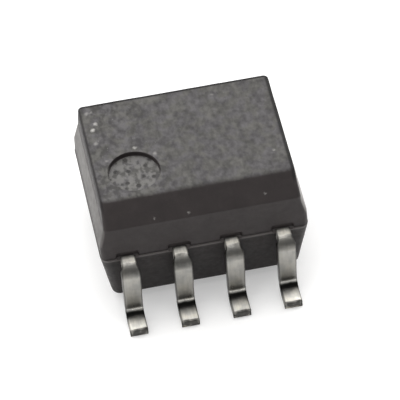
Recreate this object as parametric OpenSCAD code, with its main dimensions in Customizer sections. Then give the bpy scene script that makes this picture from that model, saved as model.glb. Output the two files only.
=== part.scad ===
// Eight-lead small-outline chip package with gull-wing leads on a 1.27 mm pitch,
// built around an emitter chip and a receiver chip that face each other.
// Millimetres. Origin at the centre of the footprint on the seating plane, +Z up,
// +X along the lead rows from lead 1 towards lead 4, leads 1 to 4 on the -Y side.

/* [Body] */
// Body length along X, upper half, at the parting line
body_l = 5.08; // [4.95:0.01:5.2]
// Body width along Y, upper half, at the parting line
body_w = 3.94; // [3.85:0.01:4.05]
// Height of the top face above the seating plane
body_top = 3.175; // [3.05:0.005:3.3]
// Gap between the underside of the body and the seating plane
standoff = 0.203; // [0.15:0.001:0.3]
// Size of the 45 degree chamfer along the top edge of the lead 1 to 4 side
chamfer = 0.51; // [0.43:0.01:0.56]
// Draft of the upper half's front wall, the one under the chamfer, degrees
draft_upper = 6; // [3:0.5:8]
// Draft of the upper half's rear wall, degrees
draft_back = 3.5; // [2:0.5:8]
// Draft of the lower half's walls, degrees
draft_lower = 9; // [5:0.5:10]
// Draft of the ends above the flare, degrees
draft_end = 4; // [1:0.5:6]
// Height of the flared zone of the ends
flare_h = 0.5; // [0.3:0.05:0.6]
// How far the ends step out over the flared zone
flare_out = 0.13; // [0.06:0.01:0.16]
// How far the lower half stands proud of the upper half along the lead rows
ledge = 0.035; // [0.02:0.005:0.06]
// How far the lower half stands proud of the upper half at the ends
ledge_end = 0.015; // [0.005:0.005:0.04]
// Width of the flat across each vertical corner of the upper half
corner = 0.1; // [0.05:0.01:0.15]
// Width of the flat across each vertical corner of the lower half
corner_lower = 0.18; // [0.08:0.01:0.24]
// Rounding of the top edges
top_round = 0.05; // [0.03:0.01:0.12]
// Rounding between the chamfer and the top face
chamfer_round = 0.18; // [0.05:0.01:0.25]
// Rounding of the bottom edges
bottom_round = 0.13; // [0.05:0.01:0.15]

/* [Pin 1 mark] */
// Diameter of the round dimple in the top face
dimple_d = 1.26; // [0.9:0.01:1.3]
// Depth of the dimple
dimple_depth = 0.12; // [0.05:0.01:0.2]
// Dimple centre along X
dimple_x = -1.4; // [-1.6:0.01:-1.2]
// Dimple centre along Y
dimple_y = -0.55; // [-0.6:0.01:-0.4]

/* [Leads] */
// Lead pitch along a row
pitch = 1.27; // [1.26:0.01:1.28]
// Span over the lead tips along Y
lead_span = 5.994; // [5.8:0.001:6.2]
// Lead thickness
lead_t = 0.228; // [0.21:0.001:0.235]
// Lead width where it leaves the body
neck_w = 0.36; // [0.33:0.01:0.4]
// Lead width at the trimmed shoulder on the leg
shoulder_w = 0.46; // [0.45:0.01:0.55]
// Lead width at the foot
foot_w = 0.44; // [0.33:0.01:0.45]
// Height of the lead's underside where it leaves the body
lead_exit_z = 1.524; // [1.5:0.001:1.54]
// Outer face of the vertical leg, measured from the centre plane
leg_y = 2.4; // [2.36:0.01:2.44]
// Outside radius of the upper bend
bend_r = 0.25; // [0.24:0.01:0.28]
// Inside radius of the heel bend
heel_r = 0.2; // [0.15:0.01:0.22]
// Width of the relief in the body above each lead root
recess_w = 0.56; // [0.5:0.01:0.6]
// Height of that relief above the lead
recess_h = 0.15; // [0.05:0.01:0.2]
// Depth of that relief into the wall
recess_d = 0.07; // [0.03:0.01:0.1]

/* [Inside] */
// Level of the underside of the emitter paddle
emitter_z = 2.2; // [2.18:0.01:2.3]
// Level of the top of the receiver paddle
detector_z = 1.2; // [1.15:0.01:1.22]
// Side of the square emitter chip
emitter_side = 0.32; // [0.26:0.01:0.36]
// Thickness of the emitter chip
emitter_t = 0.18; // [0.14:0.01:0.2]
// Receiver chip length along X
detector_l = 1.3; // [1.2:0.01:1.4]
// Receiver chip width along Y
detector_w = 1.06; // [0.96:0.01:1.1]
// Receiver chip thickness
detector_t = 0.28; // [0.22:0.01:0.3]
// Thickness of the two die attach layers
attach_t = 0.025; // [0.02:0.001:0.03]
// Diameter of the bond wires
wire_d = 0.038; // [0.03:0.001:0.04]
// Thickness of the insulating film
film_t = 0.05; // [0.04:0.01:0.06]
// Level of the underside of the insulating film
film_z = 1.75; // [1.73:0.01:1.77]

/* [Hidden] */
$fn = 48;

part_z = lead_exit_z + lead_t;            // parting plane, flush with the lead tops
cham_z = body_top - chamfer;              // lower edge of the chamfer
flare_z = cham_z - flare_h;               // lower edge of the flared zone
band = 0.005;                             // draft of the band below the flare
up_y = body_w / 2;
cham_y = up_y - (cham_z - part_z) * tan(draft_upper);
back_y = up_y - (body_top - part_z) * tan(draft_back);
up_x = body_l / 2;
neck_x = up_x - band - flare_out;
end_x = neck_x - chamfer * tan(draft_end);
low_y = up_y + ledge;
low_x = up_x + ledge_end;
low_h = part_z - standoff;
bot_y = low_y - low_h * tan(draft_lower);
bot_x = low_x - low_h * tan(draft_lower);
tip_y = lead_span / 2;
join_y = up_y - 0.42;                     // inner end of a lead's straight run
root_z = part_z - 0.03;                   // floor of the relief beside a lead root

emitter_face_z = emitter_z - attach_t - emitter_t;      // emitter chip hangs face down
detector_face_z = detector_z + attach_t + detector_t;

// points on a circular arc from direction a0 to a1
function arc(cx, cy, r, a0, a1, n = 4) =
    [for (i = [0:n]) let (a = a0 + (a1 - a0) * i / n) [cx + r * cos(a), cy + r * sin(a)]];

// X position of lead n: 1 to 4 along the front, 5 to 8 back along the rear
function lead_x(n) = n <= 4 ? (n - 2.5) * pitch : (6.5 - n) * pitch;

// extrude a profile drawn with Z up: along_y takes X across, along_x takes Y across
module along_y(h) { translate([0, h / 2, 0]) rotate([90, 0, 0]) linear_extrude(h) children(); }
module along_x(h) { translate([-h / 2, 0, 0]) rotate([90, 0, 90]) linear_extrude(h) children(); }

// flat sheet outline with round corners
module rounded_rect(x0, x1, y0, y1, r) {
    translate([x0 + r, y0]) square([x1 - x0 - 2 * r, y1 - y0]);
    translate([x0, y0 + r]) square([x1 - x0, y1 - y0 - 2 * r]);
    for (x = [x0 + r, x1 - r], y = [y0 + r, y1 - r]) translate([x, y]) circle(r = r);
}

// ---- moulded body ----

// side profile of the upper half, front on the left, with the chamfer
module upper_side() {
    r = top_round;
    q = chamfer_round;
    polygon(concat(
        [[up_y, part_z], [back_y, body_top - r * 1.1]],
        arc(back_y - r, body_top - r, r, 0, 90),
        arc(-cham_y + chamfer + q * tan(22.5), body_top - q, q, 90, 135, 3),
        [[-cham_y, cham_z], [-up_y, part_z]]));
}

// end profile of the upper half: steep at the top, flared, then a narrow upright band
module upper_end() {
    r = top_round;
    polygon(concat(
        [[up_x, part_z], [up_x - band, flare_z], [neck_x, cham_z], [end_x, body_top - r * 1.1]],
        arc(end_x - r, body_top - r, r, 0, 90),
        arc(-end_x + r, body_top - r, r, 90, 180),
        [[-end_x, body_top - r * 1.1], [-neck_x, cham_z], [-up_x + band, flare_z], [-up_x, part_z]]));
}

// drafted profile of the lower half: half size a at the parting line, b at the bottom
module lower_profile(a, b) {
    r = bottom_round;
    c = b + r * tan(draft_lower) - r / cos(draft_lower);
    polygon(concat(
        arc(c, standoff + r, r, -90, -draft_lower),
        [[a, part_z], [-a, part_z]],
        arc(-c, standoff + r, r, 180 + draft_lower, 270)));
}

// the diagonal profiles that take off the vertical corners, leaving flats of width w
module corner_profile(levels, w) {
    right = [for (p = levels) [(p[0] + p[1]) / sqrt(2) - w / 2, p[2]]];
    n = len(right);
    polygon(concat(right, [for (i = [n - 1:-1:0]) [-right[i][0], right[i][1]]]));
}

module upper_half() {
    flare_y = up_y - (flare_z - part_z) * tan(draft_upper);
    levels = [[up_x, up_y, part_z], [up_x - band, flare_y, flare_z],
              [neck_x, cham_y, cham_z], [end_x, back_y, body_top + 0.01]];
    intersection() {
        along_x(6) upper_side();
        along_y(5) upper_end();
        rotate([0, 0, 45]) along_y(12) corner_profile(levels, corner);
        rotate([0, 0, -45]) along_y(12) corner_profile(levels, corner);
    }
}

module lower_half() {
    levels = [[bot_x, bot_y, standoff - 0.001], [low_x, low_y, part_z]];
    intersection() {
        along_x(6) lower_profile(low_y, bot_y);
        along_y(5) lower_profile(low_x, bot_x);
        rotate([0, 0, 45]) along_y(12) corner_profile(levels, corner_lower);
        rotate([0, 0, -45]) along_y(12) corner_profile(levels, corner_lower);
    }
}

// relief in the wall above and beside the root of lead n
module root_recess(n) {
    y0 = n <= 4 ? -up_y - 0.2 : up_y - recess_d;
    translate([lead_x(n) - recess_w / 2, y0, root_z])
        cube([recess_w, recess_d + 0.2, part_z + recess_h - root_z]);
}

module mould_body() {
    color([0.2, 0.195, 0.19]) difference() {
        union() { upper_half(); lower_half(); }
        translate([dimple_x, dimple_y, body_top - dimple_depth]) cylinder(d = dimple_d, h = 1);
        for (n = [1:8]) root_recess(n);
        for (n = [1:8]) lead_solid(n);
        emitter_gel_block();
        detector_gel_block();
        film_sheet();
    }
}

// ---- leads ----

// gull-wing profile outside the body, for the +Y side: flat run, bend, leg, heel and foot
module gull_profile() {
    heel_out = heel_r + lead_t;
    translate([join_y, lead_exit_z]) square([leg_y - bend_r - join_y, lead_t]);
    translate([leg_y - bend_r, part_z - bend_r]) intersection() {
        difference() { circle(r = bend_r); circle(r = bend_r - lead_t); }
        square(bend_r);
    }
    translate([leg_y - lead_t, heel_out]) square([lead_t, part_z - bend_r - heel_out]);
    translate([leg_y + heel_r, heel_out]) intersection() {
        difference() { circle(r = heel_out); circle(r = heel_r); }
        translate([-heel_out, -heel_out]) square(heel_out);
    }
    translate([leg_y + heel_r, 0]) square([tip_y - leg_y - heel_r, lead_t]);
}

// outline of a lead seen from the front: neck, trimmed shoulder at the bend, taper to the foot
module front_outline() {
    a = neck_w / 2;
    b = shoulder_w / 2;
    c = foot_w / 2;
    polygon([[-a, 1.9], [-a, 1.74], [-b, 1.6], [-b, 1.02], [-c, 0.68], [-c, -0.1],
             [c, -0.1], [c, 0.68], [b, 1.02], [b, 1.6], [a, 1.74], [a, 1.9]]);
}

module gull_wing() {
    intersection() {
        along_x(1) gull_profile();
        translate([0, 2.5, 0]) along_y(4) front_outline();
    }
}

// inner run of width w that steps from the exit level to level z1 between y0 and y1,
// and ends at y_end
module stepped_run(w, z1, y0, y1, y_end) {
    z0 = lead_exit_z;
    s = lead_t * tan(atan2(z1 - z0, y0 - y1) / 2);
    along_x(w) polygon([
        [join_y, z0], [y0, z0], [y1, z1], [y_end, z1],
        [y_end, z1 + lead_t], [y1 + s, z1 + lead_t], [y0 + s, z0 + lead_t], [join_y, z0 + lead_t]]);
}

// flat area of a lead at level z, from x0 to x1 and y0 to y1 in the lead's own frame
module land(x0, x1, y0, y1, z) { translate([x0, y0, z]) cube([x1 - x0, y1 - y0, lead_t]); }

// lead n in its own frame: on the +Y side, centred on X = 0
module lead_own(n) {
    ez = emitter_z;
    dz = detector_z - lead_t;
    gull_wing();
    // unconnected leads end in an anchor head that the moulding grips
    if (n == 1 || n == 4) {
        land(-neck_w / 2, neck_w / 2, 1.3, join_y, lead_exit_z);
        land(-0.3, 0.3, 1.08, 1.3, lead_exit_z);
    }
    // anode lead: bond finger beside the emitter paddle
    if (n == 2) stepped_run(0.32, ez, 1.44, 0.96, 0.3);
    // cathode lead: emitter paddle
    if (n == 3) {
        stepped_run(0.32, ez, 1.44, 0.96, 0.6);
        land(-0.16, 0.98, -0.42, 0.6, ez);
    }
    // ground lead: receiver paddle, reached by a side arm
    if (n == 5) {
        stepped_run(0.32, dz, 1.44, 0.98, 0.4);
        land(-1.02, 0.16, -0.1, 0.4, dz);
        land(-2.76, -1.02, -0.66, 0.66, dz);
    }
    // output leads: bond fingers at the receiver's level
    if (n == 6 || n == 7) stepped_run(0.32, dz, 1.5, 1.21, 0.82);
    // supply lead: its finger turns in towards the receiver
    if (n == 8) {
        stepped_run(0.32, dz, 1.44, 0.98, 0.72);
        land(-0.16, 0.84, 0.32, 0.72, dz);
    }
}

// lead n in place; the front row is turned half a turn about Z
module lead_solid(n) {
    translate([lead_x(n), 0, 0]) rotate([0, 0, n <= 4 ? 180 : 0]) lead_own(n);
}

module lead(n) { color([0.74, 0.73, 0.7]) lead_solid(n); }

// ---- chips and their attach layers ----

module emitter_die() {
    color([0.75, 0.55, 0.3]) translate([-emitter_side / 2, -emitter_side / 2, emitter_face_z])
        cube([emitter_side, emitter_side, emitter_t]);
}

module emitter_die_attach() {
    s = emitter_side + 0.08;
    color([0.8, 0.8, 0.78]) translate([0, 0, emitter_z - attach_t])
        linear_extrude(attach_t) rounded_rect(-s / 2, s / 2, -s / 2, s / 2, 0.06);
}

module detector_die() {
    color([0.35, 0.38, 0.42]) translate([-detector_l / 2, -detector_w / 2, detector_z + attach_t])
        cube([detector_l, detector_w, detector_t]);
}

module detector_die_attach() {
    a = detector_l / 2 + 0.05;
    b = detector_w / 2 + 0.05;
    color([0.8, 0.8, 0.78]) translate([0, 0, detector_z])
        linear_extrude(attach_t) rounded_rect(-a, a, -b, b, 0.08);
}

// ---- bond wires ----

// Wire from a ball bond at a to a wedge bond at a level drop away from it, seen from the
// side the loop is on. It rises, bends over, runs level along the direction turn, bends
// down to the angle steep and comes in straight. up is 1 or -1 for a loop above or below.
module bond_wire(a, turn, rise, run, steep, drop, up = 1) {
    r = 0.06;
    ball = 0.02;
    translate(a) rotate([0, 0, turn]) rotate([up > 0 ? 0 : 180, 0, 0]) {
        cylinder(d = 2.2 * wire_d, h = ball);
        translate([0, 0, ball]) cylinder(d = wire_d, h = rise);
        translate([r, 0, ball + rise]) rotate([90, 0, 0]) rotate([0, 0, 90])
            rotate_extrude(angle = 90) translate([r, 0]) circle(d = wire_d);
        translate([r, 0, ball + rise + r]) rotate([0, 90, 0]) cylinder(d = wire_d, h = run);
        intersection() {
            translate([r + run, 0, ball + rise]) rotate([90, 0, 0]) rotate([0, 0, 90 - steep]) {
                rotate_extrude(angle = steep) translate([r, 0]) circle(d = wire_d);
                translate([r, 0, 0]) rotate([90, 0, 0]) cylinder(d = wire_d, h = 0.9);
            }
            translate([0, -0.5, -drop]) cube([4, 1, 2]);
        }
    }
}

module emitter_wire_path() {
    bond_wire([-0.03, 0, emitter_face_z], 215, 0.03, 0.45, 60, attach_t + emitter_t, -1);
}
module detector_wire_path(k) {
    z = detector_face_z;
    drop = attach_t + detector_t;
    if (k == 0) bond_wire([0.5, -0.3, z], 0, 0.06, 0.06, 75, drop);
    if (k == 1) bond_wire([0.42, 0.4, z], 72, 0.06, 0.28, 65, drop);
    if (k == 2) bond_wire([-0.42, 0.4, z], 108, 0.06, 0.28, 65, drop);
    if (k == 3) bond_wire([-0.52, 0.1, z], 152, 0.06, 0.38, 60, drop);
}

module emitter_wire() { color("gold") emitter_wire_path(); }
module detector_wire_gnd() { color("gold") detector_wire_path(0); }
module detector_wire_vo() { color("gold") detector_wire_path(1); }
module detector_wire_ve() { color("gold") detector_wire_path(2); }
module detector_wire_vcc() { color("gold") detector_wire_path(3); }

// ---- clear coupling medium and film ----

module emitter_gel_block() {
    translate([0, 0, film_z + film_t]) linear_extrude(emitter_z - film_z - film_t)
        rounded_rect(-0.86, 0.5, -0.66, 0.4, 0.25);
}

module detector_gel_block() {
    translate([0, 0, detector_z]) linear_extrude(film_z - detector_z)
        rounded_rect(-1.3, 0.88, -0.66, 1.06, 0.25);
}

module film_sheet() {
    translate([0, 0, film_z]) linear_extrude(film_t) rounded_rect(-1.35, 1.05, -0.8, 1.1, 0.1);
}

module emitter_gel() {
    color([0.9, 0.93, 0.95, 0.4]) difference() {
        emitter_gel_block();
        emitter_die();
        emitter_die_attach();
        emitter_wire_path();
    }
}

module insulating_film() { color([0.85, 0.6, 0.25, 0.7]) film_sheet(); }

module detector_gel() {
    color([0.9, 0.93, 0.95, 0.4]) difference() {
        detector_gel_block();
        detector_die();
        detector_die_attach();
        for (k = [0:3]) detector_wire_path(k);
    }
}

mould_body();
lead(1);  // lead_1
lead(2);  // lead_2
lead(3);  // lead_3
lead(4);  // lead_4
lead(5);  // lead_5
lead(6);  // lead_6
lead(7);  // lead_7
lead(8);  // lead_8
emitter_die();
emitter_die_attach();
emitter_wire();
emitter_gel();
insulating_film();
detector_gel();
detector_die();
detector_die_attach();
detector_wire_gnd();
detector_wire_vo();
detector_wire_ve();
detector_wire_vcc();
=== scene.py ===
import math

import bmesh
import bpy
import numpy as np
from mathutils import Matrix, Vector, noise


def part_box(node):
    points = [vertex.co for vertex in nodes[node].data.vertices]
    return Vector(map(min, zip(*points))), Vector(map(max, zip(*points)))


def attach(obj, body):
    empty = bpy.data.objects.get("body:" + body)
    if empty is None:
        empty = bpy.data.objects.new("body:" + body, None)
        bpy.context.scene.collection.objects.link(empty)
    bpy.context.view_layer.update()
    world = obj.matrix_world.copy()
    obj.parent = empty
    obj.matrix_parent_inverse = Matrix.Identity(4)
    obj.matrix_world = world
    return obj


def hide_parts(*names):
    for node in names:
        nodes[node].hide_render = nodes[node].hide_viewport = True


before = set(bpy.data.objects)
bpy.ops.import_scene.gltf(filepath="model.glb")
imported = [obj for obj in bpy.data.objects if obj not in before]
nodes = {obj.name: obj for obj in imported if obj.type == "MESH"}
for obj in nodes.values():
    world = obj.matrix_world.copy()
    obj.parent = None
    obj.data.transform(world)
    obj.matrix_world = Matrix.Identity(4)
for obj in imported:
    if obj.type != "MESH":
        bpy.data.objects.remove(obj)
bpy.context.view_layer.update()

# Shapes are drawn in millimetres and brought to metres when a piece is finished.
MM = 0.001


def box_mm(node):
    lo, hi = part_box(node)
    return np.array(lo) / MM, np.array(hi) / MM


# ---------------------------------------------------------------- sizes: the body and lead boxes come from model.glb, the rest are given here
body_lo, body_hi = box_mm("mould_body")
TOP, STANDOFF = body_hi[2], body_lo[2]
LEDGE, LEDGE_END = 0.035, 0.015
LOW_X, LOW_Y = body_hi[0], body_hi[1]
UP_X, UP_Y = LOW_X - LEDGE_END, LOW_Y - LEDGE
PART_Z = box_mm("lead_1")[1][2]
CHAMFER, FLARE_H, FLARE_OUT, BAND = 0.51, 0.50, 0.13, 0.005
CHAM_Z = TOP - CHAMFER
FLARE_Z = CHAM_Z - FLARE_H
tan = lambda deg: math.tan(math.radians(deg))
CHAM_Y = UP_Y - (CHAM_Z - PART_Z) * tan(6)
BACK_Y = UP_Y - (TOP - PART_Z) * tan(3.5)
NECK_X = UP_X - BAND - FLARE_OUT
END_X = NECK_X - CHAMFER * tan(4)
LOW_SLOPE = tan(9)

lead_boxes = {n: box_mm(f"lead_{n}") for n in range(1, 9)}
TIP_Y = lead_boxes[1][0][1] * -1
LEAD_T = 0.228
EXIT_Z = PART_Z - LEAD_T
LEG_Y, BEND_R, HEEL_R, JOIN_Y = 2.40, 0.25, 0.20, UP_Y - 0.42
PITCH = 1.27
NECK_W, SHOULDER_W, FOOT_W = 0.36, 0.46, 0.44
DIMPLE = (-1.40, -0.55, 0.63, 0.12)


def lead_x(n):
    return (n - 2.5) * PITCH if n <= 4 else (6.5 - n) * PITCH


# ---------------------------------------------------------------- mesh helpers
def mesh_object(name, verts, faces):
    me = bpy.data.meshes.new(name)
    me.from_pydata([tuple(map(float, v)) for v in verts], [], faces)
    me.update()
    ob = bpy.data.objects.new(name, me)
    bpy.context.scene.collection.objects.link(ob)
    return ob


def drop(ob):
    me = ob.data
    bpy.data.objects.remove(ob)
    bpy.data.meshes.remove(me)


def boolean(ob, other, operation):
    """Applies one exact boolean and removes the other object."""
    mod = ob.modifiers.new("cut", "BOOLEAN")
    mod.operation, mod.solver, mod.object = operation, "EXACT", other
    dg = bpy.context.evaluated_depsgraph_get()
    dg.update()
    made = bpy.data.meshes.new_from_object(ob.evaluated_get(dg))
    old = ob.data
    ob.modifiers.clear()
    ob.data = made
    bpy.data.meshes.remove(old)
    drop(other)
    return ob


def fillet(points, radii, seg):
    """A 2-D path with its inner corners rounded."""
    pts = [np.array(p, float) for p in points]
    out = [pts[0]]
    for i in range(1, len(pts) - 1):
        r = radii[i - 1]
        if r <= 0:
            out.append(pts[i])
            continue
        u = (pts[i - 1] - pts[i]) / np.linalg.norm(pts[i - 1] - pts[i])
        v = (pts[i + 1] - pts[i]) / np.linalg.norm(pts[i + 1] - pts[i])
        phi = math.acos(max(-1.0, min(1.0, float(u @ v))))
        t = r / math.tan(phi / 2)
        centre = pts[i] + (u + v) / np.linalg.norm(u + v) * r / math.sin(phi / 2)
        a, b = pts[i] + u * t - centre, pts[i] + v * t - centre
        turn = math.acos(max(-1.0, min(1.0, float(a @ b) / r / r)))
        for k in range(seg + 1):
            f = k / seg
            p = (math.sin((1 - f) * turn) * a + math.sin(f * turn) * b) / math.sin(turn)
            out.append(centre + p)
    out.append(pts[-1])
    return np.array(out)


def clean(ob, dist=1e-4):
    bm = bmesh.new()
    bm.from_mesh(ob.data)
    bmesh.ops.remove_doubles(bm, verts=bm.verts, dist=dist)
    bmesh.ops.dissolve_degenerate(bm, dist=dist, edges=bm.edges)
    bmesh.ops.recalc_face_normals(bm, faces=bm.faces)
    bm.to_mesh(ob.data)
    bm.free()


def rounded_plate(name, outline, z0, z1, r=0.012, seg=2):
    """A flat plate of any outline with its edges eased."""
    bm = bmesh.new()
    base = [bm.verts.new((x, y, z0)) for x, y in outline]
    face = bm.faces.new(base)
    if face.normal.z > 0:
        face.normal_flip()
    ext = bmesh.ops.extrude_face_region(bm, geom=[face])
    for v in ext["geom"]:
        if isinstance(v, bmesh.types.BMVert):
            v.co.z = z1
    bmesh.ops.recalc_face_normals(bm, faces=bm.faces)
    bmesh.ops.bevel(bm, geom=list(bm.edges), offset=r, segments=seg, profile=0.5,
                    affect="EDGES", clamp_overlap=True)
    bmesh.ops.recalc_face_normals(bm, faces=bm.faces)
    me = bpy.data.meshes.new(name)
    bm.to_mesh(me)
    bm.free()
    ob = bpy.data.objects.new(name, me)
    bpy.context.scene.collection.objects.link(ob)
    return ob


# ---------------------------------------------------------------- moulded body
def side_profile(points, radii, seg=9):
    """Path of (height, offset) pairs cut off where it reaches the top face."""
    path = fillet(points, radii, seg)
    keep = [path[0]]
    for p in path[1:]:
        if p[0] <= keep[-1][0] + 1e-7:
            break
        keep.append(p)
    return np.array(keep)


def build_body():
    front = side_profile([(PART_Z, UP_Y), (CHAM_Z, CHAM_Y), (TOP, CHAM_Y - CHAMFER), (TOP, 0.5)],
                         [0.025, 0.20], 8)
    back = side_profile([(PART_Z, UP_Y), (TOP, BACK_Y), (TOP, 0.5)], [0.045])
    ends = side_profile([(PART_Z, UP_X), (FLARE_Z, UP_X - BAND), (CHAM_Z, NECK_X), (TOP, END_X), (TOP, 0.5)],
                        [0.05, 0.05, 0.05])
    zs = sorted(set(np.round(np.concatenate([front[:, 0], back[:, 0], ends[:, 0],
                                             np.arange(PART_Z, TOP - 0.1, 0.06)]), 5)))
    levels_z = [zs[0]]
    for z in zs[1:]:
        if z - levels_z[-1] > (0.0006 if z > TOP - 0.03 else 0.004):
            levels_z.append(z)
    levels_z[-1] = TOP
    rc0 = 0.12
    levels = []
    for z in reversed(levels_z):                       # from the top down
        a = np.interp(z, ends[:, 0], ends[:, 1])
        plain = END_X + (TOP - z) * tan(4) if z > CHAM_Z else a
        levels.append((z, a, np.interp(z, front[:, 0], front[:, 1]),
                       np.interp(z, back[:, 0], back[:, 1]), max(0.02, rc0 - max(0.0, plain - a))))
    low_h = PART_Z - STANDOFF
    low = fillet([(PART_Z, -LEDGE), (PART_Z, 0.0), (STANDOFF, -low_h * LOW_SLOPE),
                  (STANDOFF, -low_h * LOW_SLOPE - 0.4)], [0.010, 0.13], 6)[1:-1]
    dense = [low[0]]
    for p in low[1:]:
        start = dense[-1]
        steps = max(1, int(np.linalg.norm(p - start) / 0.07))
        dense.extend([start + (p - start) * k / steps for k in range(1, steps + 1)])
    for z, d in dense:
        plain = -(PART_Z - z) * LOW_SLOPE
        dx = d * LEDGE_END / LEDGE if z > PART_Z - 0.0101 else d
        levels.append((z, LOW_X + dx, LOW_Y + d, LOW_Y + d, max(0.02, 0.20 - max(0.0, plain - d))))

    nx, ny, m = 84, 62, 7
    verts, faces = [], []
    fx, fy = np.linspace(-1, 1, nx + 1), np.linspace(0, 1, ny + 1)

    def ring(z, a, bf, bb, rc):
        pts = [(f * (a - rc), -bf) for f in fx]
        arc = lambda cx, cy, a0: [(cx + rc * math.cos(math.radians(a0 + 90 * k / m)),
                                   cy + rc * math.sin(math.radians(a0 + 90 * k / m))) for k in range(1, m)]
        pts += arc(a - rc, -bf + rc, -90)
        pts += [(a, -bf + rc + f * (bf + bb - 2 * rc)) for f in fy]
        pts += arc(a - rc, bb - rc, 0)
        pts += [(-f * (a - rc), bb) for f in fx]
        pts += arc(-a + rc, bb - rc, 90)
        pts += [(-a, bb - rc - f * (bf + bb - 2 * rc)) for f in fy]
        pts += arc(-a + rc, -bf + rc, 180)
        return [(x, y, z) for x, y in pts]

    n = 2 * (nx + 1) + 2 * (ny + 1) + 4 * (m - 1)
    for lv in levels:
        verts += ring(*lv)
    for i in range(len(levels) - 1):
        for k in range(n):
            a, b = i * n + k, i * n + (k + 1) % n
            faces.append((a + n, b + n, b, a))

    def cap(level, first, up):
        """Fills a ring: a middle grid, a strip along each side and a fan at each corner."""
        z, a, bf, bb, rc = level
        start = len(verts)
        for j in range(ny + 1):
            for i in range(nx + 1):
                verts.append((fx[i] * (a - rc), -bf + rc + fy[j] * (bf + bb - 2 * rc), z))
        g = lambda i, j: start + j * (nx + 1) + i
        front0 = first
        right0 = front0 + nx + 1 + m - 1
        back0 = right0 + ny + 1 + m - 1
        left0 = back0 + nx + 1 + m - 1
        made = []
        for j in range(ny):
            for i in range(nx):
                made.append((g(i, j), g(i + 1, j), g(i + 1, j + 1), g(i, j + 1)))
        for i in range(nx):
            made.append((front0 + i, front0 + i + 1, g(i + 1, 0), g(i, 0)))
            made.append((back0 + i, back0 + i + 1, g(nx - i - 1, ny), g(nx - i, ny)))
        for j in range(ny):
            made.append((right0 + j, right0 + j + 1, g(nx, j + 1), g(nx, j)))
            made.append((left0 + j, left0 + j + 1, g(0, ny - j - 1), g(0, ny - j)))
        for s, c in ((front0 + nx, g(nx, 0)), (right0 + ny, g(nx, ny)), (back0 + nx, g(0, ny)), (left0 + ny, g(0, 0))):
            for k in range(m):
                p, q = s + k, s + k + 1
                if q >= first + n:
                    q -= n
                made.append((p, q, c))
        faces.extend(made if up else [f[::-1] for f in made])

    cap(levels[0], 0, True)
    cap(levels[-1], (len(levels) - 1) * n, False)

    # a few thousandths of a millimetre of waviness, as on any moulding
    out = []
    for x, y, z in verts:
        p = Vector((x, y, z))
        w = noise.noise_vector(p * 1.7) * 0.0030 + noise.noise_vector(p * 6.0 + Vector((7, 3, 1))) * 0.0012
        hold = min(1.0, abs(z - PART_Z) / 0.05)         # the parting line stays crisp
        out.append((x + w.x * hold, y + w.y * hold, z + w.z * hold * (1 if z > 0.5 else 0.3)))
    return mesh_object("moulded_body", out, faces)


def dimple_cutter():
    cx, cy, r, depth = DIMPLE
    z = TOP
    path = fillet([(0, z - depth), (r - 0.004, z - depth), (r, z - 0.0), (r + 0.06, z + 0.012), (r + 0.06, z + 0.3), (0, z + 0.3)],
                  [0.028, 0.03, 0, 0], 5)
    seg = 96
    verts, faces = [], []
    inner = path[1:-1]
    for p in inner:
        for k in range(seg):
            t = 2 * math.pi * k / seg
            verts.append((cx + p[0] * math.cos(t), cy + p[0] * math.sin(t), p[1]))
    for i in range(len(inner) - 1):
        for k in range(seg):
            a, b = i * seg + k, i * seg + (k + 1) % seg
            faces.append((a, b, b + seg, a + seg))
    bottom, top = len(verts), len(verts) + 1
    verts += [(cx, cy, path[0][1]), (cx, cy, path[-1][1])]
    last = (len(inner) - 1) * seg
    for k in range(seg):
        faces.append((bottom, (k + 1) % seg, k))
        faces.append((top, last + k, last + (k + 1) % seg))
    ob = mesh_object("dimple_cutter", verts, faces)
    clean(ob, 1e-5)
    return ob


# ---------------------------------------------------------------- leads
def smooth(t):
    t = min(1.0, max(0.0, t))
    return t * t * (3 - 2 * t)


def lead_stations():
    """Centre line of a lead outside the body, from the root outwards: (y, z, angle down, length)."""
    half = LEAD_T / 2
    out = []
    z_run = EXIT_Z + half
    for y in np.linspace(JOIN_Y - 0.06, LEG_Y - BEND_R, 16)[:-1]:
        out.append((y, z_run, 0.0))
    r = BEND_R - half
    for a in np.linspace(0, 90, 15):
        t = math.radians(a)
        out.append((LEG_Y - BEND_R + r * math.sin(t), PART_Z - BEND_R + r * math.cos(t), a))
    heel = HEEL_R + half
    z0, z1 = PART_Z - BEND_R, HEEL_R + LEAD_T
    for z in np.linspace(z0, z1, 36)[1:-1]:
        out.append((LEG_Y - half, z, 90.0))
    for a in np.linspace(90, 0, 17):
        t = math.radians(a)
        out.append((LEG_Y + HEEL_R - heel * math.sin(t), HEEL_R + LEAD_T - heel * math.cos(t), a))
    for y in np.linspace(LEG_Y + HEEL_R, TIP_Y, 15)[1:]:
        out.append((y, half, 0.0))
    rows, s = [], 0.0
    for i, (y, z, a) in enumerate(out):
        if i:
            s += math.hypot(y - out[i - 1][0], z - out[i - 1][1])
        rows.append((y, z, a, s))
    return rows


STATIONS = lead_stations()


def lead_width(y, z, angle):
    if y > LEG_Y + 0.02 or z < 0.68:
        return FOOT_W
    if z > 1.40:
        return NECK_W + (SHOULDER_W - NECK_W) * smooth((angle - 8) / 62)
    return SHOULDER_W + (FOOT_W - SHOULDER_W) * smooth((1.02 - z) / 0.34)


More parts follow.
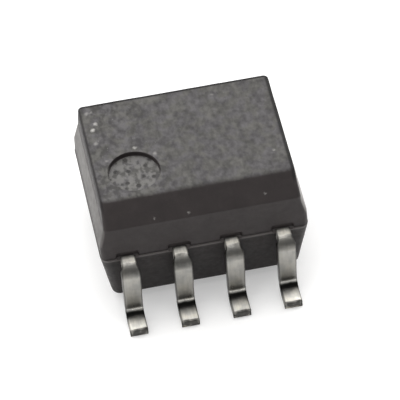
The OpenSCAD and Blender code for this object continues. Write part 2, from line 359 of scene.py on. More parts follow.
def section(w, t, r_out, r_in, across=8, corner=5):
    """Section of a stamped strip: rolled-over edges on the outer face, tighter ones on the inner."""
    a, h = w / 2, t / 2
    pts = []
    for k in range(across + 1):                      # outer face, left to right
        f = -1 + 2 * k / across
        pts.append((f * (a - r_out), h + 0.0035 * (1 - f * f)))
    for k in range(1, corner):
        q = math.radians(90 - 90 * k / corner)
        pts.append((a - r_out + r_out * math.cos(q), h - r_out + r_out * math.sin(q)))
    pts.append((a, h - r_out))
    pts.append((a, -h + r_in))
    for k in range(1, corner):
        q = math.radians(-90 * k / corner)
        pts.append((a - r_in + r_in * math.cos(q), -h + r_in + r_in * math.sin(q)))
    for k in range(across + 1):
        f = 1 - 2 * k / across
        pts.append((f * (a - r_in), -h))
    for k in range(1, corner):
        q = math.radians(-90 - 90 * k / corner)
        pts.append((-a + r_in + r_in * math.cos(q), -h + r_in + r_in * math.sin(q)))
    pts.append((-a, -h + r_in))
    pts.append((-a, h - r_out))
    for k in range(1, corner):
        q = math.radians(180 - 90 * k / corner)
        pts.append((-a + r_out + r_out * math.cos(q), h - r_out + r_out * math.sin(q)))
    return pts


# how far the broken lower edge of each tip is rounded off
TIP_LOW = {1: 0.06, 2: 0.085, 3: 0.09, 4: 0.11, 5: 0.08, 6: 0.06, 7: 0.09, 8: 0.07}


def lead_sweep(n):
    rows = [(y, z, a, s, 0.0, 0.0, 0.0) for y, z, a, s in STATIONS]
    # the sheared tip: rounded a little at the top and sides, more where the shear broke out below
    ty, tz, ta, ts = rows.pop()[:4]
    side, top, low, long = 0.10, 0.04, TIP_LOW[n], 0.11
    for k in range(8):
        q = math.radians(90 * k / 7)
        c = 1 - math.cos(q)
        rows.append((ty - long + long * math.sin(q), tz, ta, ts, side * c, top * c, low * c))
    verts, faces = [], []
    for y, z, a, s, side, top, low in rows:
        t = math.radians(a)
        ny, nz = math.sin(t), math.cos(t)            # outward normal of the strip
        w = lead_width(y, z, a)
        z += (low - top) / 2
        thick = LEAD_T - top - low
        r_in = min(0.018 + 1.2 * side, thick * 0.55)
        pts = section(w - 2 * side, thick, min(0.042, thick * 0.4), r_in)
        for u, h in pts:
            p = Vector((u, y + ny * h, z + nz * h))
            q = noise.noise_vector(Vector((u * 5, s * 3, n * 7.3 + h * 5)))
            flat = 0.0016 if s > 0.7 else 0.0
            verts.append((p.x + q.x * flat * 1.2, p.y + ny * q.z * flat, p.z + nz * q.z * flat))
    k = len(pts)
    for i in range(len(rows) - 1):
        for j in range(k):
            a, b = i * k + j, i * k + (j + 1) % k
            faces.append((a, b, b + k, a + k))
    first, last = len(verts), len(verts) + 1
    y, z = rows[0][0], rows[0][1]
    verts.append((0, y, z))
    y, z = rows[-1][0], rows[-1][1]
    verts.append((0, y, z))
    end = (len(rows) - 1) * k
    for j in range(k):
        faces.append((first, (j + 1) % k, j))
        faces.append((last, end + j, end + (j + 1) % k))
    ob = mesh_object(f"sweep_{n}", verts, faces)
    clean(ob, 1e-6)
    return ob


def prism_x(name, w, outline, r=0.012):
    """A bar of width w along X whose side view is the given (y, z) outline."""
    ob = rounded_plate(name, outline, -w / 2, w / 2, r)
    # the plate's x, y, z become y, z, x
    ob.data.transform(Matrix(((0, 0, 1, 0), (1, 0, 0, 0), (0, 1, 0, 0), (0, 0, 0, 1))))
    return ob


def rect(x0, x1, y0, y1):
    return [(x0, y0), (x1, y0), (x1, y1), (x0, y1)]


def inner_parts(n):
    """What a lead carries inside the moulding, in its own frame."""
    t, out = LEAD_T, []
    z_hi = lead_boxes[3][1][2] - t                   # underside of the emitter paddle
    z_lo = box_mm("detector_die_attach")[0][2] - t   # underside of the receiver paddle

    def stepped(w, z1, y0, y1, y_end):
        s = t * math.tan(math.atan2(z1 - EXIT_Z, y0 - y1) / 2)
        out.append(prism_x(f"run_{n}", w, [
            (JOIN_Y, EXIT_Z), (y0, EXIT_Z), (y1, z1), (y_end, z1), (y_end, z1 + t),
            (y1 + s, z1 + t), (y0 + s, EXIT_Z + t), (JOIN_Y, EXIT_Z + t)]))

    def land(x0, x1, y0, y1, z):
        out.append(rounded_plate(f"land_{n}_{len(out)}", rect(x0, x1, y0, y1), z, z + t))

    if n in (1, 4):
        land(-NECK_W / 2, NECK_W / 2, 1.2, JOIN_Y, EXIT_Z)
        land(-0.3, 0.3, 1.08, 1.3, EXIT_Z)
    if n == 2:
        stepped(0.32, z_hi, 1.44, 0.96, 0.3)
    if n == 3:
        stepped(0.32, z_hi, 1.44, 0.96, 0.5)
        land(-0.16, 0.98, -0.42, 0.6, z_hi)
    if n == 5:
        stepped(0.32, z_lo, 1.44, 0.98, 0.3)
        land(-1.2, 0.16, -0.1, 0.4, z_lo)
        land(-2.76, -1.02, -0.66, 0.66, z_lo)
    if n in (6, 7):
        stepped(0.32, z_lo, 1.5, 1.21, 0.82)
    if n == 8:
        stepped(0.32, z_lo, 1.44, 0.98, 0.6)
        land(-0.16, 0.84, 0.32, 0.72, z_lo)
    return out


def set_attribute(me, name, values):
    at = me.attributes.get(name) or me.attributes.new(name, "FLOAT", "POINT")
    at.data.foreach_set("value", np.asarray(values, np.float32))


def coordinates(me):
    co = np.zeros(len(me.vertices) * 3)
    me.vertices.foreach_get("co", co)
    return co.reshape(-1, 3)


def build_lead(n):
    ob = lead_sweep(n)
    for part in inner_parts(n):
        boolean(ob, part, "UNION")
    clean(ob, 2e-5)
    ob.name = f"gull_lead_{n}"
    ob.data.name = ob.name
    # length along the strip, and how far round a bend a point lies, for the painted light and shade and the roughness
    # along the lead
    co = coordinates(ob.data)
    st = np.array(STATIONS)
    d = (co[:, 1, None] - st[None, :, 0]) ** 2 + (co[:, 2, None] - st[None, :, 1]) ** 2
    near = d.argmin(1)
    # length between stations, so that the painted light and shade and the roughness don't step from one to the next
    step = np.maximum(np.minimum(near + 1, len(st) - 1), 1)
    back = np.maximum(step - 2, 0)
    chord = st[step, :2] - st[back, :2]
    length = np.maximum(np.hypot(chord[:, 0], chord[:, 1]), 1e-6)
    along = ((co[:, 1] - st[back, 0]) * chord[:, 0] + (co[:, 2] - st[back, 1]) * chord[:, 1]) / length ** 2
    span = st[step, 3] - st[back, 3]
    set_attribute(ob.data, "run", st[back, 3] + np.clip(along, 0, 1) * span)
    wide = np.array([lead_width(*st[k, :3]) for k in range(len(st))])
    set_attribute(ob.data, "edge", np.maximum(0.0, wide[near] / 2 - np.abs(co[:, 0])))
    set_attribute(ob.data, "across", co[:, 0])
    turn = Matrix.Rotation(math.pi, 4, "Z") if n <= 4 else Matrix.Identity(4)
    ob.data.transform(Matrix.Translation((lead_x(n), 0, 0)) @ turn)
    return ob


leads = {n: build_lead(n) for n in range(1, 9)}
body = build_body()
boolean(body, dimple_cutter(), "DIFFERENCE")
for n in range(1, 9):
    x, s = lead_x(n), (-1 if n <= 4 else 1)
    y0, y1 = sorted((s * (UP_Y - 0.07), s * (UP_Y + 0.2)))
    boolean(body, rounded_plate(f"recess_{n}", rect(x - 0.28, x + 0.28, y0, y1), PART_Z - 0.03, PART_Z + 0.17, 0.06, 5),
            "DIFFERENCE")


def copy_of(ob):
    new = bpy.data.objects.new("copy", ob.data.copy())
    bpy.context.scene.collection.objects.link(new)
    return new


def rounded_block(name, lo, hi, r, seg=6):
    pts = []
    for cx, cy, a0 in ((hi[0] - r, lo[1] + r, -90), (hi[0] - r, hi[1] - r, 0), (lo[0] + r, hi[1] - r, 90), (lo[0] + r, lo[1] + r, 180)):
        pts += [(cx + r * math.cos(math.radians(a0 + 90 * k / seg)), cy + r * math.sin(math.radians(a0 + 90 * k / seg))) for k in range(seg + 1)]
    return rounded_plate(name, pts, lo[2], hi[2], 0.0001)


# the pockets that the leads, gel and film fill inside the moulding
for n in range(1, 9):
    boolean(body, copy_of(leads[n]), "DIFFERENCE")
for node, r in (("emitter_gel", 0.25), ("detector_gel", 0.25), ("insulating_film", 0.1)):
    lo, hi = box_mm(node)
    boolean(body, rounded_block(node + "_pocket", lo, hi, r), "DIFFERENCE")
clean(body, 2e-5)
body.data.name = "moulded_body"


def finish_mesh(ob, angle=32):
    """To metres, with smooth shading that breaks at sharp edges."""
    ob.data.transform(Matrix.Scale(MM, 4))
    me = ob.data
    me.materials.clear()
    me.polygons.foreach_set("use_smooth", [True] * len(me.polygons))
    bm = bmesh.new()
    bm.from_mesh(me)
    lim = math.radians(angle)
    for e in bm.edges:
        e.smooth = len(e.link_faces) == 2 and e.calc_face_angle(0.0) < lim
    bm.to_mesh(me)
    bm.free()
    mod = ob.modifiers.new("weighted", "WEIGHTED_NORMAL")
    mod.keep_sharp, mod.weight = True, 60
    me.update()


for ob in (body, *leads.values()):
    finish_mesh(ob)

# ---------------------------------------------------------------- materials
class Nodes:
    """A short way to write a node tree."""

    def __init__(self, name):
        self.mat = bpy.data.materials.new(name)
        self.mat.use_nodes = True
        self.t = self.mat.node_tree
        self.t.nodes.clear()
        self.out = self.t.nodes.new("ShaderNodeOutputMaterial")
        self.bsdf = self.t.nodes.new("ShaderNodeBsdfPrincipled")
        self.t.links.new(self.bsdf.outputs[0], self.out.inputs[0])
        tc = self.t.nodes.new("ShaderNodeTexCoord")
        self.mm = self.vec("SCALE", tc.outputs["Object"], scale=1000.0)   # position in millimetres

    def put(self, socket, value):
        if isinstance(value, bpy.types.NodeSocket):
            self.t.links.new(value, socket)
        elif value is not None:
            socket.default_value = value

    def new(self, kind, **kw):
        nd = self.t.nodes.new(kind)
        for k, v in kw.items():
            setattr(nd, k, v)
        return nd

    def vec(self, op, a, b=None, scale=None):
        nd = self.new("ShaderNodeVectorMath", operation=op)
        self.put(nd.inputs[0], a)
        if b is not None:
            self.put(nd.inputs[1], b)
        if scale is not None:
            nd.inputs["Scale"].default_value = scale
        return nd.outputs["Value"] if op in ("DISTANCE", "LENGTH", "DOT_PRODUCT") else nd.outputs["Vector"]

    def math(self, op, a, b=None, c=None, clamp=False):
        nd = self.new("ShaderNodeMath", operation=op, use_clamp=clamp)
        for i, v in enumerate((a, b, c)):
            if v is not None:
                self.put(nd.inputs[i], v)
        return nd.outputs[0]

    def ramp(self, v, lo, hi, a=0.0, b=1.0, smooth=True):
        nd = self.new("ShaderNodeMapRange", interpolation_type="SMOOTHSTEP" if smooth else "LINEAR", clamp=True)
        for k, x in (("Value", v), ("From Min", lo), ("From Max", hi), ("To Min", a), ("To Max", b)):
            self.put(nd.inputs[k], x)
        return nd.outputs["Result"]

    def noise(self, scale, detail=3.0, rough=0.55, vector=None, distortion=0.0):
        nd = self.new("ShaderNodeTexNoise")
        self.put(nd.inputs["Vector"], self.mm if vector is None else vector)
        nd.inputs["Scale"].default_value = scale
        nd.inputs["Detail"].default_value = detail
        nd.inputs["Roughness"].default_value = rough
        nd.inputs["Distortion"].default_value = distortion
        return nd.outputs["Fac"]

    def new_noise_colour(self, scale):
        nd = self.new("ShaderNodeTexNoise")
        self.put(nd.inputs["Vector"], self.mm)
        nd.inputs["Scale"].default_value = scale
        return nd.outputs["Color"]

    def voronoi(self, scale, feature="F1", vector=None, rand=1.0):
        nd = self.new("ShaderNodeTexVoronoi", feature=feature)
        self.put(nd.inputs["Vector"], self.mm if vector is None else vector)
        nd.inputs["Scale"].default_value = scale
        nd.inputs["Randomness"].default_value = rand
        return nd.outputs["Distance"]

    def mix(self, f, a, b, kind="MIX"):
        nd = self.new("ShaderNodeMix", data_type="RGBA", blend_type=kind)
        self.put(nd.inputs[0], f)
        self.put(nd.inputs[6], a)
        self.put(nd.inputs[7], b)
        return nd.outputs[2]

    def attribute(self, name):
        nd = self.new("ShaderNodeAttribute", attribute_name=name)
        return nd.outputs["Fac"]

    def xyz(self, v):
        nd = self.new("ShaderNodeSeparateXYZ")
        self.put(nd.inputs[0], v)
        return nd.outputs

    def normal(self):
        return self.new("ShaderNodeNewGeometry").outputs["Normal"]

    def bump(self, height, distance_mm, strength=1.0, normal=None):
        nd = self.new("ShaderNodeBump")
        nd.inputs["Strength"].default_value = strength
        nd.inputs["Distance"].default_value = distance_mm * MM
        self.put(nd.inputs["Height"], height)
        if normal is not None:
            self.put(nd.inputs["Normal"], normal)
        return nd.outputs["Normal"]

    def set(self, **kw):
        for k, v in kw.items():
            self.put(self.bsdf.inputs[k.replace("_", " ")], v)


def rgb(r, g, b):
    return (r, g, b, 1.0)


# Pale specks on the top face and the chamfer: (x, y, z, radius, strength)
SPECKS = ((-2.19, 1.60, 3.17, 0.05, 0.45), (-2.08, 1.61, 3.17, 0.04, 0.35), (-2.04, 1.21, 3.17, 0.05, 0.8),
          (-2.14, 1.02, 3.17, 0.05, 1.0), (-2.14, 0.55, 3.17, 0.05, 0.4), (-1.25, 0.20, 3.17, 0.045, 0.7),
          (-0.81, -0.10, 3.17, 0.05, 0.4), (-1.99, -0.07, 3.17, 0.04, 0.3), (0.91, 1.52, 3.17, 0.04, 0.3),
          (2.01, -0.67, 3.17, 0.035, 0.35), (-1.15, -1.79, 2.75, 0.03, 0.4), (-0.33, -1.80, 2.74, 0.03, 0.5),
          (1.56, -1.70, 2.84, 0.03, 0.4))


def mould_material():
    m = Nodes("mould_compound")
    x, y, z = m.xyz(m.mm)[:3]
    nx, ny, nz = m.xyz(m.normal())[:3]
    ax = m.math("ABSOLUTE", x)
    edge = m.math("ADD", nz, m.math("MULTIPLY", m.math("SUBTRACT", m.noise(9.0, 2.0, 0.5), 0.5), 0.16))
    top = m.math("MULTIPLY", m.ramp(edge, 0.76, 1.0), m.ramp(z, 2.9, 3.0))
    flare = m.math("MULTIPLY", m.ramp(ax, 2.375, 2.415), m.math("MULTIPLY", m.ramp(z, 2.10, 2.19), m.ramp(z, 2.66, 2.60)))
    flare = m.math("MULTIPLY", flare, m.ramp(m.math("ABSOLUTE", nx), 0.45, 0.75))
    # the left end of the top, around the dimple, is the most worn
    cx, cy, r, depth = DIMPLE
    near = m.vec("DISTANCE", m.mm, (cx - 0.15, cy - 0.2, TOP))
    worn = m.ramp(near, 1.35, 0.45)
    left = m.ramp(x, 0.2, -1.6)
    floor = m.math("MULTIPLY", m.ramp(m.vec("DISTANCE", m.mm, (cx, cy, TOP - depth)), r + 0.02, r - 0.03), m.ramp(z, TOP - 0.04, TOP - 0.09))
    patches = m.noise(1.6, 4.0, 0.6)
    hue = m.noise(3.2, 2.0, 0.5, distortion=0.3)
    drawn = m.vec("MULTIPLY", m.mm, (1.0, 0.72, 1.0))
    blotch = m.noise(3.4, 4.0, 0.60, vector=drawn, distortion=0.4)
    grain = m.noise(7.6, 2.5, 0.55, vector=drawn)
    fine = m.noise(50.0, 2.0, 0.6)
    pits = m.voronoi(4.6)
    # resin and its filler: dark brown-black walls, a greyer and mottled top
    dark = m.mix(m.ramp(patches, 0.35, 0.65), rgb(0.0135, 0.0098, 0.0092), rgb(0.0195, 0.0145, 0.0138))
    dark = m.mix(m.ramp(blotch, 0.45, 0.75, 0.0, 0.50), dark, rgb(0.032, 0.025, 0.024))
    tone = m.math("ADD", m.math("MULTIPLY", m.ramp(blotch, 0.25, 0.75, smooth=False), 0.45), m.math("MULTIPLY", m.ramp(grain, 0.28, 0.72, smooth=False), 0.55))
    swing = m.ramp(m.math("MAXIMUM", worn, m.math("MULTIPLY", left, 0.45)), 0, 1, 0.75, 1.35)
    tone = m.math("ADD", 0.5, m.math("MULTIPLY", m.math("SUBTRACT", tone, 0.5), m.math("MULTIPLY", swing, 2.3)), clamp=True)
    tone = m.math("ADD", tone, m.math("MULTIPLY", m.math("MAXIMUM", floor, m.math("MULTIPLY", worn, 0.8)), 0.14), clamp=True)
    warm = m.mix(tone, rgb(0.034, 0.0325, 0.0305), rgb(0.101, 0.0975, 0.0915))
    cool = m.mix(tone, rgb(0.0335, 0.0312, 0.0330), rgb(0.100, 0.0955, 0.0990))
    mott = m.mix(m.ramp(hue, 0.40, 0.60), warm, cool)
    hole = m.math("MULTIPLY", m.ramp(pits, 0.36, 0.17), m.math("MULTIPLY", worn, m.ramp(m.noise(2.6), 0.32, 0.46)))
    mott = m.mix(m.math("MULTIPLY", floor, m.ramp(grain, 0.40, 0.62, 0.10, 0.75)), mott, rgb(0.155, 0.151, 0.146))
    hole = m.math("MULTIPLY", hole, m.ramp(floor, 0, 1, 0.35, 1.0))
    mott = m.mix(m.math("MULTIPLY", hole, 0.9), mott, rgb(0.022, 0.021, 0.020))
    light = m.math("MULTIPLY", m.ramp(m.voronoi(9.0), 0.16, 0.05), m.ramp(m.noise(3.7), 0.5, 0.62))
    mott = m.mix(m.math("MULTIPLY", light, m.ramp(left, 0, 1, 0.35, 0.7)), mott, rgb(0.19, 0.187, 0.18))
    # painted highlight: the wall of the dimple is made pale, all but its back half
    dimple_wall_highlight = m.math("MULTIPLY", m.math("SUBTRACT", 1.0, floor), m.math("MULTIPLY", m.ramp(m.vec("DISTANCE", m.mm, (cx, cy, TOP)), r + 0.055, r + 0.030), m.ramp(z, TOP - 0.003, TOP - 0.012)))
    dimple_wall_highlight = m.math("MULTIPLY", dimple_wall_highlight, m.ramp(m.math("ADD", y, m.math("MULTIPLY", x, 0.36)), cy + 0.36 * cx + 0.20, cy + 0.36 * cx - 0.04))
    mott = m.mix(dimple_wall_highlight, mott, rgb(0.13, 0.127, 0.12))
    # painted shade: a darker line along the top's back and end edges
    shade_line_y = m.ramp(y, BACK_Y - 0.105, BACK_Y - 0.06)
    shade_line_x = m.math("MAXIMUM", m.ramp(ax, END_X - 0.07, END_X - 0.03, 0.0, 0.7), m.ramp(x, END_X - 0.12, END_X - 0.06, 0.0, 0.9))
    rim = m.math("MULTIPLY", m.math("MAXIMUM", shade_line_y, shade_line_x), m.ramp(z, 2.9, 3.05))
    # painted shade: the walls are darker below the parting line, greyer above it
    low = m.mix(1.0, dark, rgb(0.50, 0.42, 0.42), "MULTIPLY")
    walls_shaded_below = m.mix(m.ramp(z, PART_Z - 0.12, PART_Z), low, m.mix(0.42, dark, rgb(0.046, 0.040, 0.041)))
    colour = m.mix(m.math("MAXIMUM", top, dimple_wall_highlight), walls_shaded_below, mott)
    colour = m.mix(m.math("MULTIPLY", rim, 0.85), colour, rgb(0.006, 0.0055, 0.006))
    wobble = m.vec("ADD", m.mm, m.vec("SCALE", m.new_noise_colour(14.0), scale=0.09))
    for sx, sy, sz, sr, k in SPECKS:
        d = m.vec("DISTANCE", wobble, (sx + 0.045, sy + 0.045, sz + 0.045))
        colour = m.mix(m.ramp(d, sr * 1.7, 0.0, 0.0, k * 0.85), colour, rgb(0.46, 0.45, 0.43))
    # painted highlight: the flared zone of both ends is made pale, paler at the right end and fainter towards the front
    flare_highlight_mask = m.ramp(m.noise(2.2, 3.0, 0.5), 0.3, 0.7, 0.78, 1.0)
    flare_highlight_mask = m.math("MULTIPLY", flare_highlight_mask, m.ramp(y, -1.9, -0.4, 0.55, 1.0))
    flare_highlight_colour = m.mix(m.ramp(x, -1.0, 1.0), rgb(0.165, 0.159, 0.153), rgb(0.52, 0.505, 0.485))
    colour = m.mix(m.math("MULTIPLY", m.math("MULTIPLY", flare, flare_highlight_mask), 0.88), colour, flare_highlight_colour)
    # painted highlight: a pale line along the ledge
    ledge_highlight = m.math("MULTIPLY", m.ramp(z, PART_Z - 0.070, PART_Z - 0.030), m.ramp(z, PART_Z + 0.004, PART_Z + 0.001))
    colour = m.mix(m.math("MULTIPLY", ledge_highlight, 0.9), colour, rgb(0.095, 0.086, 0.084))
    # painted shade: a dark line just above the parting line
    parting_line_shade = m.math("MULTIPLY", m.ramp(z, PART_Z + 0.002, PART_Z + 0.006), m.ramp(z, PART_Z + 0.070, PART_Z + 0.015))
    colour = m.mix(m.math("MULTIPLY", parting_line_shade, 0.35), colour, rgb(0.003, 0.0025, 0.0025))
    m.set(Base_Color=colour)
    rough = m.ramp(grain, 0.3, 0.7, 0.42, 0.54)
    rough = m.math("ADD", rough, m.ramp(top, 0, 1, 0.0, 0.12))
    rough = m.math("ADD", rough, m.math("MULTIPLY", rim, 0.25))
    m.set(Roughness=rough)
    m.bsdf.inputs["IOR"].default_value = 1.50
    m.bsdf.inputs["Specular IOR Level"].default_value = 0.28
    h = m.math("ADD", m.math("MULTIPLY", grain, m.ramp(top, 0, 1, 0.35, 1.0)), m.math("MULTIPLY", fine, 0.35))
    h = m.math("ADD", h, m.math("MULTIPLY", blotch, m.ramp(top, 0, 1, 0.15, 0.9)))
    h = m.math("SUBTRACT", h, m.math("MULTIPLY", hole, 1.2))
    h = m.math("MULTIPLY", h, m.ramp(flare, 0, 1, 1.0, 0.25))
    m.set(Normal=m.bump(h, 0.014))
    return m.mat


def run_at(kind, f):
    """Length along the strip at fraction f of the flat, bend, leg, heel or foot."""
    st = STATIONS
    marks = {"flat": (0, 15), "bend": (15, 29), "leg": (29, 64), "heel": (64, 80), "foot": (80, len(st) - 1)}
    a, b = marks[kind]
    return st[a][3] + (st[b][3] - st[a][3]) * f


# Brightness and roughness of the plating along a lead, from the flat run to the tip. The brightness is painted light
# and shade:
# dark near the body, painted highlights at the flat run's end, on the heel and on the foot, painted shade over the bend
# and down the leg, near black in the hollow of the heel, darker at the tip
LEAD_LIGHT_SHADE_AND_ROUGHNESS = (("flat", 0.00, 0.30, 0.60), ("flat", 0.66, 0.20, 0.60), ("flat", 0.84, 0.90, 0.72), ("flat", 0.99, 0.98, 0.70),
          ("bend", 0.11, 0.36, 0.55), ("bend", 0.24, 0.13, 0.46), ("bend", 0.50, 0.17, 0.42), ("bend", 0.78, 0.12, 0.42),
          ("bend", 0.95, 0.18, 0.38), ("leg", 0.08, 0.35, 0.34), ("leg", 0.45, 0.30, 0.33), ("leg", 0.88, 0.25, 0.33),
          ("leg", 0.97, 0.17, 0.30), ("heel", 0.12, 0.18, 0.28), ("heel", 0.24, 0.50, 0.26), ("heel", 0.34, 0.42, 0.28), ("heel", 0.44, 0.03, 0.40), ("heel", 0.56, 0.008, 0.50),
          ("heel", 0.78, 0.010, 0.50), ("heel", 0.93, 0.10, 0.52), ("foot", 0.02, 0.26, 0.58), ("foot", 0.16, 0.46, 0.62), ("foot", 0.45, 0.80, 0.66),
          ("foot", 0.70, 0.98, 0.68), ("foot", 0.86, 0.96, 0.60), ("foot", 0.91, 0.36, 0.46), ("foot", 0.975, 0.065, 0.44))


def tin_material():
    m = Nodes("tin_plate")
    run, across, edge = m.attribute("run"), m.attribute("across"), m.attribute("edge")
    cv = m.new("ShaderNodeCombineXYZ")
    m.put(cv.inputs[0], m.math("MULTIPLY", across, 11.0))
    m.put(cv.inputs[1], m.math("MULTIPLY", run, 1.3))
    m.put(cv.inputs[2], m.xyz(m.mm)[0])
    streak = m.noise(1.0, 4.0, 0.6, vector=cv.outputs[0])
    mottle = m.noise(4.0, 4.0, 0.6)
    fine = m.noise(40.0, 3.0, 0.6)
    # the painted bands of light and shade, and the roughness, wander a little from side to side
    wander = m.math("MULTIPLY", m.math("SUBTRACT", m.noise(5.0, 2.0, 0.5), 0.5), 0.09)
    s0, s1 = run_at("flat", 0.0), run_at("foot", 1.0)
    v = m.math("DIVIDE", m.math("SUBTRACT", m.math("ADD", run, wander), s0), s1 - s0)

    def along(column):
        nd = m.new("ShaderNodeValToRGB")
        cr = nd.color_ramp
        while len(cr.elements) > 1:
            cr.elements.remove(cr.elements[-1])
        for i, row in enumerate(LEAD_LIGHT_SHADE_AND_ROUGHNESS):
            pos = (run_at(row[0], row[1]) - s0) / (s1 - s0)
            e = cr.elements[0] if i == 0 else cr.elements.new(pos)
            e.position = pos
            e.color = rgb(*[row[column]] * 3)
        m.put(nd.inputs[0], v)
        return nd.outputs[0]

    # painted light and shade: the brightness column of the table, highlights and shade along the lead
    level = along(2)
    tint = m.mix(m.ramp(mottle, 0.35, 0.65), rgb(1.0, 0.970, 0.895), rgb(1.0, 0.985, 0.935))
    base = m.mix(1.0, level, tint, "MULTIPLY")
    vary = m.math("MULTIPLY", m.ramp(streak, 0.30, 0.70, 0.92, 1.06), m.ramp(mottle, 0.3, 0.75, 1.06, 0.86))
    # painted shade: the plating is darkened within a few hundredths of a millimetre of each side edge
    side = m.ramp(edge, 0.012, 0.045, 0.42, 1.0)
    cvv = m.new("ShaderNodeVectorMath", operation="SCALE")
    m.put(cvv.inputs[0], base)
    m.put(cvv.inputs["Scale"], m.math("MULTIPLY", vary, side))
    m.set(Base_Color=cvv.outputs["Vector"])
    rough = m.math("ADD", along(3), m.math("ADD", m.ramp(mottle, 0.3, 0.7, -0.04, 0.05), m.ramp(streak, 0.3, 0.7, 0.03, -0.03)))
    m.set(Roughness=rough)
    m.bsdf.inputs["Metallic"].default_value = 1.0
    h = m.math("ADD", m.math("MULTIPLY", streak, 0.5), m.math("MULTIPLY", fine, 0.25))
    m.set(Normal=m.bump(h, 0.005))
    return m.mat


def crystal_material(name, a, b, rough, lines):
    m = Nodes(name)
    br = m.new("ShaderNodeTexBrick")
    m.put(br.inputs["Vector"], m.mm)
    br.inputs["Scale"].default_value = lines
    br.inputs["Color1"].default_value = rgb(*a)
    br.inputs["Color2"].default_value = rgb(*b)
    br.inputs["Mortar"].default_value = rgb(*[c * 1.8 for c in b])
    br.inputs["Mortar Size"].default_value = 0.03
    tone = m.mix(m.ramp(m.noise(6.0), 0.3, 0.7, 0.0, 0.4), br.outputs["Color"], rgb(*[c * 0.6 for c in a]))
    m.set(Base_Color=tone, Roughness=m.ramp(m.noise(20.0), 0.3, 0.7, rough - 0.05, rough + 0.1))
    m.set(Normal=m.bump(br.outputs["Fac"], 0.002))
    return m.mat


def paste_material():
    m = Nodes("silver_paste")
    g = m.noise(60.0, 4.0, 0.7)
    m.set(Base_Color=m.mix(m.ramp(g, 0.35, 0.65), rgb(0.32, 0.31, 0.30), rgb(0.66, 0.65, 0.62)),
          Roughness=m.ramp(g, 0.3, 0.7, 0.35, 0.6))
    m.bsdf.inputs["Metallic"].default_value = 0.6
    m.set(Normal=m.bump(g, 0.004))
    return m.mat


def gold_material():
    m = Nodes("bond_gold")
    g = m.noise(90.0, 3.0, 0.6)
    m.set(Base_Color=m.mix(m.ramp(g, 0.35, 0.65), rgb(0.80, 0.50, 0.14), rgb(0.93, 0.66, 0.26)),
          Roughness=m.ramp(g, 0.3, 0.7, 0.18, 0.32))
    m.bsdf.inputs["Metallic"].default_value = 1.0
    m.set(Normal=m.bump(g, 0.0008))
    return m.mat


def clear_material(name, a, b, rough, transmission):
    m = Nodes(name)
    g = m.noise(3.0, 4.0, 0.6)
    m.set(Base_Color=m.mix(m.ramp(g, 0.35, 0.65), rgb(*a), rgb(*b)), Roughness=m.ramp(m.noise(12.0), 0.3, 0.7, rough, rough + 0.12))
    m.bsdf.inputs["Transmission Weight"].default_value = transmission
    m.bsdf.inputs["IOR"].default_value = 1.41
    m.set(Normal=m.bump(m.noise(8.0, 3.0, 0.5), 0.002))
    return m.mat


mould, tin = mould_material(), tin_material()
silicon = crystal_material("silicon_die", (0.11, 0.13, 0.19), (0.20, 0.21, 0.25), 0.22, 7.0)
emitter = crystal_material("emitter_crystal", (0.30, 0.16, 0.07), (0.42, 0.27, 0.12), 0.3, 14.0)
paste, gold = paste_material(), gold_material()
gel = clear_material("clear_silicone", (0.86, 0.88, 0.87), (0.92, 0.93, 0.92), 0.08, 0.9)
film = clear_material("amber_film", (0.62, 0.30, 0.07), (0.72, 0.40, 0.12), 0.15, 0.6)

body.data.materials.append(mould)
for ob in leads.values():
    ob.data.materials.append(tin)
inside = {"emitter_die": emitter, "detector_die": silicon, "emitter_die_attach": paste, "detector_die_attach": paste,
          "emitter_gel": gel, "detector_gel": gel, "insulating_film": film}
for name, ob in nodes.items():
    mat = inside.get(name) or (gold if "wire" in name else None)
    if mat:
        ob.data.materials.clear()
        ob.data.materials.append(mat)

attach(body, "root")
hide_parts("mould_body")
for n, ob in leads.items():
    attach(ob, "root")
    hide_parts(f"lead_{n}")

# ---------------------------------------------------------------- floor, light and camera
bm = bmesh.new()
bmesh.ops.create_grid(bm, x_segments=8, y_segments=8, size=2.5)
me = bpy.data.meshes.new("floor")
bm.to_mesh(me)
bm.free()
floor = bpy.data.objects.new("floor", me)
bpy.context.scene.collection.objects.link(floor)
floor.location.z = -0.000002
f = Nodes("floor_white")
f.set(Base_Color=rgb(0.72, 0.72, 0.72), Roughness=0.9)
f.bsdf.inputs["Emission Color"].default_value = rgb(1.0, 1.0, 1.0)
f.bsdf.inputs["Emission Strength"].default_value = 0.34
f.bsdf.inputs["Specular IOR Level"].default_value = 0.1
floor.data.materials.append(f.mat)

world = bpy.data.worlds.new("studio")
bpy.context.scene.world = world
world.use_nodes = True
wt = world.node_tree
wt.nodes.clear()


def wmath(op, a, b=None, clamp=False):
    nd = wt.nodes.new("ShaderNodeMath")
    nd.operation, nd.use_clamp = op, clamp
    for i, v in enumerate((a, b)):
        if isinstance(v, bpy.types.NodeSocket):
            wt.links.new(v, nd.inputs[i])
        elif v is not None:
            nd.inputs[i].default_value = v
    return nd.outputs[0]


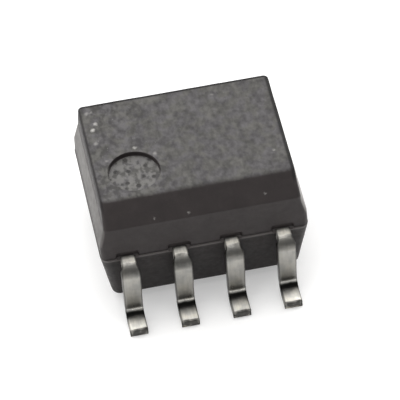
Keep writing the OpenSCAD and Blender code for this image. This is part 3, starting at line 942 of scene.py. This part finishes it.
def wramp(v, lo, hi, a=0.0, b=1.0):
    nd = wt.nodes.new("ShaderNodeMapRange")
    nd.interpolation_type, nd.clamp = "SMOOTHSTEP", True
    wt.links.new(v, nd.inputs["Value"])
    for k, x in (("From Min", lo), ("From Max", hi), ("To Min", a), ("To Max", b)):
        nd.inputs[k].default_value = x
    return nd.outputs["Result"]


tc = wt.nodes.new("ShaderNodeTexCoord")
sep = wt.nodes.new("ShaderNodeSeparateXYZ")
wt.links.new(tc.outputs["Generated"], sep.inputs[0])
dx, dy, dz = sep.outputs[:3]
SKY, BACK, LEFT, ZENITH, RIM = 0.40, 1.85, 0.6, 2.6, 0.95
back = wmath("MULTIPLY", wmath("MULTIPLY", wramp(dy, 0.0, 0.45), wramp(dz, 0.12, 0.34)), wramp(dz, 0.97, 0.80))
left = wmath("MULTIPLY", wramp(wmath("MULTIPLY", dx, -1.0), 0.35, 0.8), wramp(dz, 0.05, 0.3))
zenith = wmath("MULTIPLY", wramp(dz, 0.80, 0.96), wramp(dy, -0.45, 0.0))
glow = wmath("ADD", wmath("ADD", SKY, wmath("MULTIPLY", back, BACK)), wmath("MULTIPLY", left, LEFT))
glow = wmath("ADD", glow, wmath("MULTIPLY", zenith, ZENITH))
rim = wramp(dz, 0.10, 0.03)
level = wmath("ADD", wmath("MULTIPLY", glow, wmath("SUBTRACT", 1.0, rim)), wmath("MULTIPLY", rim, RIM))
bg = wt.nodes.new("ShaderNodeBackground")
wo = wt.nodes.new("ShaderNodeOutputWorld")
bg.inputs["Color"].default_value = rgb(1.0, 0.995, 0.985)
wt.links.new(level, bg.inputs["Strength"])
wt.links.new(bg.outputs[0], wo.inputs[0])

cam = bpy.data.objects.new("camera", bpy.data.cameras.new("camera"))
bpy.context.scene.collection.objects.link(cam)
bpy.context.scene.camera = cam
cam.data.sensor_width, cam.data.lens = 36.0, 328.67
cam.data.clip_start, cam.data.clip_end = 0.005, 20.0
# right, up and back of the camera, as columns
turn = Matrix(((0.980208, 0.174268, -0.093929), (-0.191604, 0.715756, -0.671551), (-0.049800, 0.676257, 0.734980)))
cam.matrix_world = Matrix.Translation(Vector((-8.201, -60.210, 67.043)) * MM) @ turn.to_4x4()

scene = bpy.context.scene
scene.view_settings.view_transform = "Standard"
scene.view_settings.look = "None"
